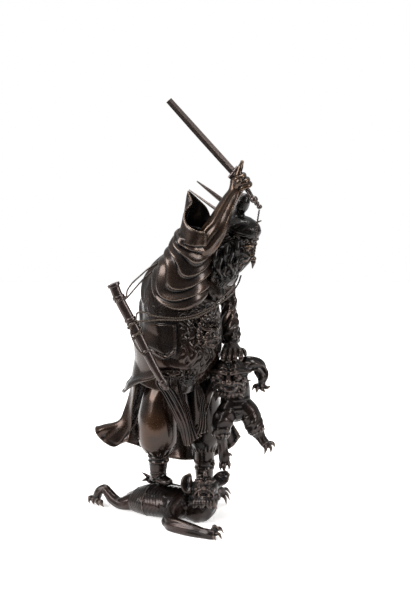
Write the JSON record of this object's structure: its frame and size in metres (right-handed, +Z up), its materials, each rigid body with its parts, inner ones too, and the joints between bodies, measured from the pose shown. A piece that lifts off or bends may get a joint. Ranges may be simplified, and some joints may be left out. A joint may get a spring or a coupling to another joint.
{
  "type": "demon queller figure",
  "caption": "Cast bronze figure of a bearded demon queller who raises a straight sword, holds a demon by the head and stands on another sprawled demon that serves as the base.",
  "frame": {"origin": "on the flat underside of the lower demon, in the middle of its belly, on the plane that the group stands on", "axes": "+Z up, along the longest extent; the queller looks towards +X and a little towards -Y"},
  "size_m": [0.2701, 0.2159, 0.591],
  "materials": {
    "robe_bronze": "dark brown patina, waxed, rubbed bright on the ridges",
    "demon_bronze": "dark brown patina, waxed, rubbed bright on the ridges",
    "sword_bronze": "brown patina with a soft sheen",
    "trim_bronze": "brown patina, rubbed on the high points"
  },
  "bodies": {
    "root": {"lower_demon": "demon_bronze", "queller": "robe_bronze", "held_demon": "demon_bronze", "sword": "sword_bronze", "sword_tassel": "trim_bronze", "scabbard": "sword_bronze", "sling_cord_rear": "trim_bronze", "sling_cord_front": "trim_bronze", "cap_wing_right": "trim_bronze", "cap_wing_left": "trim_bronze"}
  },
  "joints": []
}
